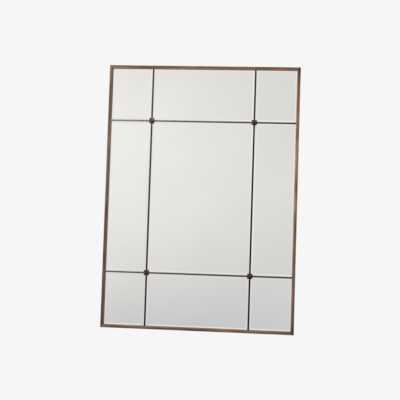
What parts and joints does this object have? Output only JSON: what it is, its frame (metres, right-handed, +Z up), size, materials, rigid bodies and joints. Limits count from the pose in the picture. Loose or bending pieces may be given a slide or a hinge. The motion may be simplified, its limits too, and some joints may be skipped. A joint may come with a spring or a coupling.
{
  "type": "wall mirror",
  "caption": "Upright wall mirror of bevelled panes joined by thin dark metal bars with flower rosettes at the crossings, in a slim wooden frame with D-ring hangers.",
  "frame": {"origin": "centre of the mirror's back, in the plane of the wall, which the rubber bumpers touch", "axes": "+Z up along the mirror's height, +X to the viewer's right, +Y from the glass towards the wall, so the glass faces -Y"},
  "size_m": [0.8, 0.036, 1.1],
  "materials": {
    "frame_wood": "brown stained and waxed wood, streaked along the grain",
    "mirror_glass": "silvered float glass with a polished bevel",
    "dark_metal": "patinated dark bronze, satin",
    "cast_rosette": "cast metal, patinated dark brown with rubbed ridges",
    "fibreboard": "raw medium-density fibreboard",
    "pine": "planed pine, unfinished",
    "zinc_steel": "zinc-plated steel, dull",
    "yellow_zinc": "yellow passivated zinc on steel",
    "rubber": "matt moulded rubber"
  },
  "bodies": {
    "mirror": {"left_stile": "frame_wood", "right_stile": "frame_wood", "top_rail": "frame_wood", "bottom_rail": "frame_wood", "corner_nails": "zinc_steel", "pane_top_left": "mirror_glass", "pane_top_centre": "mirror_glass", "pane_top_right": "mirror_glass", "pane_middle_left": "mirror_glass", "pane_middle_centre": "mirror_glass", "pane_middle_right": "mirror_glass", "pane_bottom_left": "mirror_glass", "pane_bottom_centre": "mirror_glass", "pane_bottom_right": "mirror_glass", "left_upright_bar": "dark_metal", "right_upright_bar": "dark_metal", "upper_bar_left": "dark_metal", "upper_bar_centre": "dark_metal", "upper_bar_right": "dark_metal", "lower_bar_left": "dark_metal", "lower_bar_centre": "dark_metal", "lower_bar_right": "dark_metal", "rosette_top_left": "cast_rosette", "rosette_top_right": "cast_rosette", "rosette_bottom_left": "cast_rosette", "rosette_bottom_right": "cast_rosette", "rosette_washers": "zinc_steel", "rosette_nuts": "zinc_steel", "backing_board": "fibreboard", "batten_left": "pine", "batten_right": "pine", "batten_top": "pine", "batten_bottom": "pine", "batten_middle": "pine", "batten_screws": "yellow_zinc", "frame_clips": "zinc_steel", "clip_screws": "zinc_steel", "wall_bumpers": "rubber", "left_hanger_strap": "zinc_steel", "right_hanger_strap": "zinc_steel", "hanger_screws": "zinc_steel"},
    "left_ring": {"left_hanger_ring": "zinc_steel"},
    "right_ring": {"right_hanger_ring": "zinc_steel"}
  },
  "joints": [
    {"name": "left_ring_swing", "type": "hinge", "parent": "mirror", "child": "left_ring", "pos_m": [-0.37, -0.00392, 0.3], "axis": [1, 0, 0], "range_deg": [0, 180]},
    {"name": "right_ring_swing", "type": "hinge", "parent": "mirror", "child": "right_ring", "pos_m": [0.37, -0.00392, 0.3], "axis": [1, 0, 0], "range_deg": [0, 180]}
  ]
}
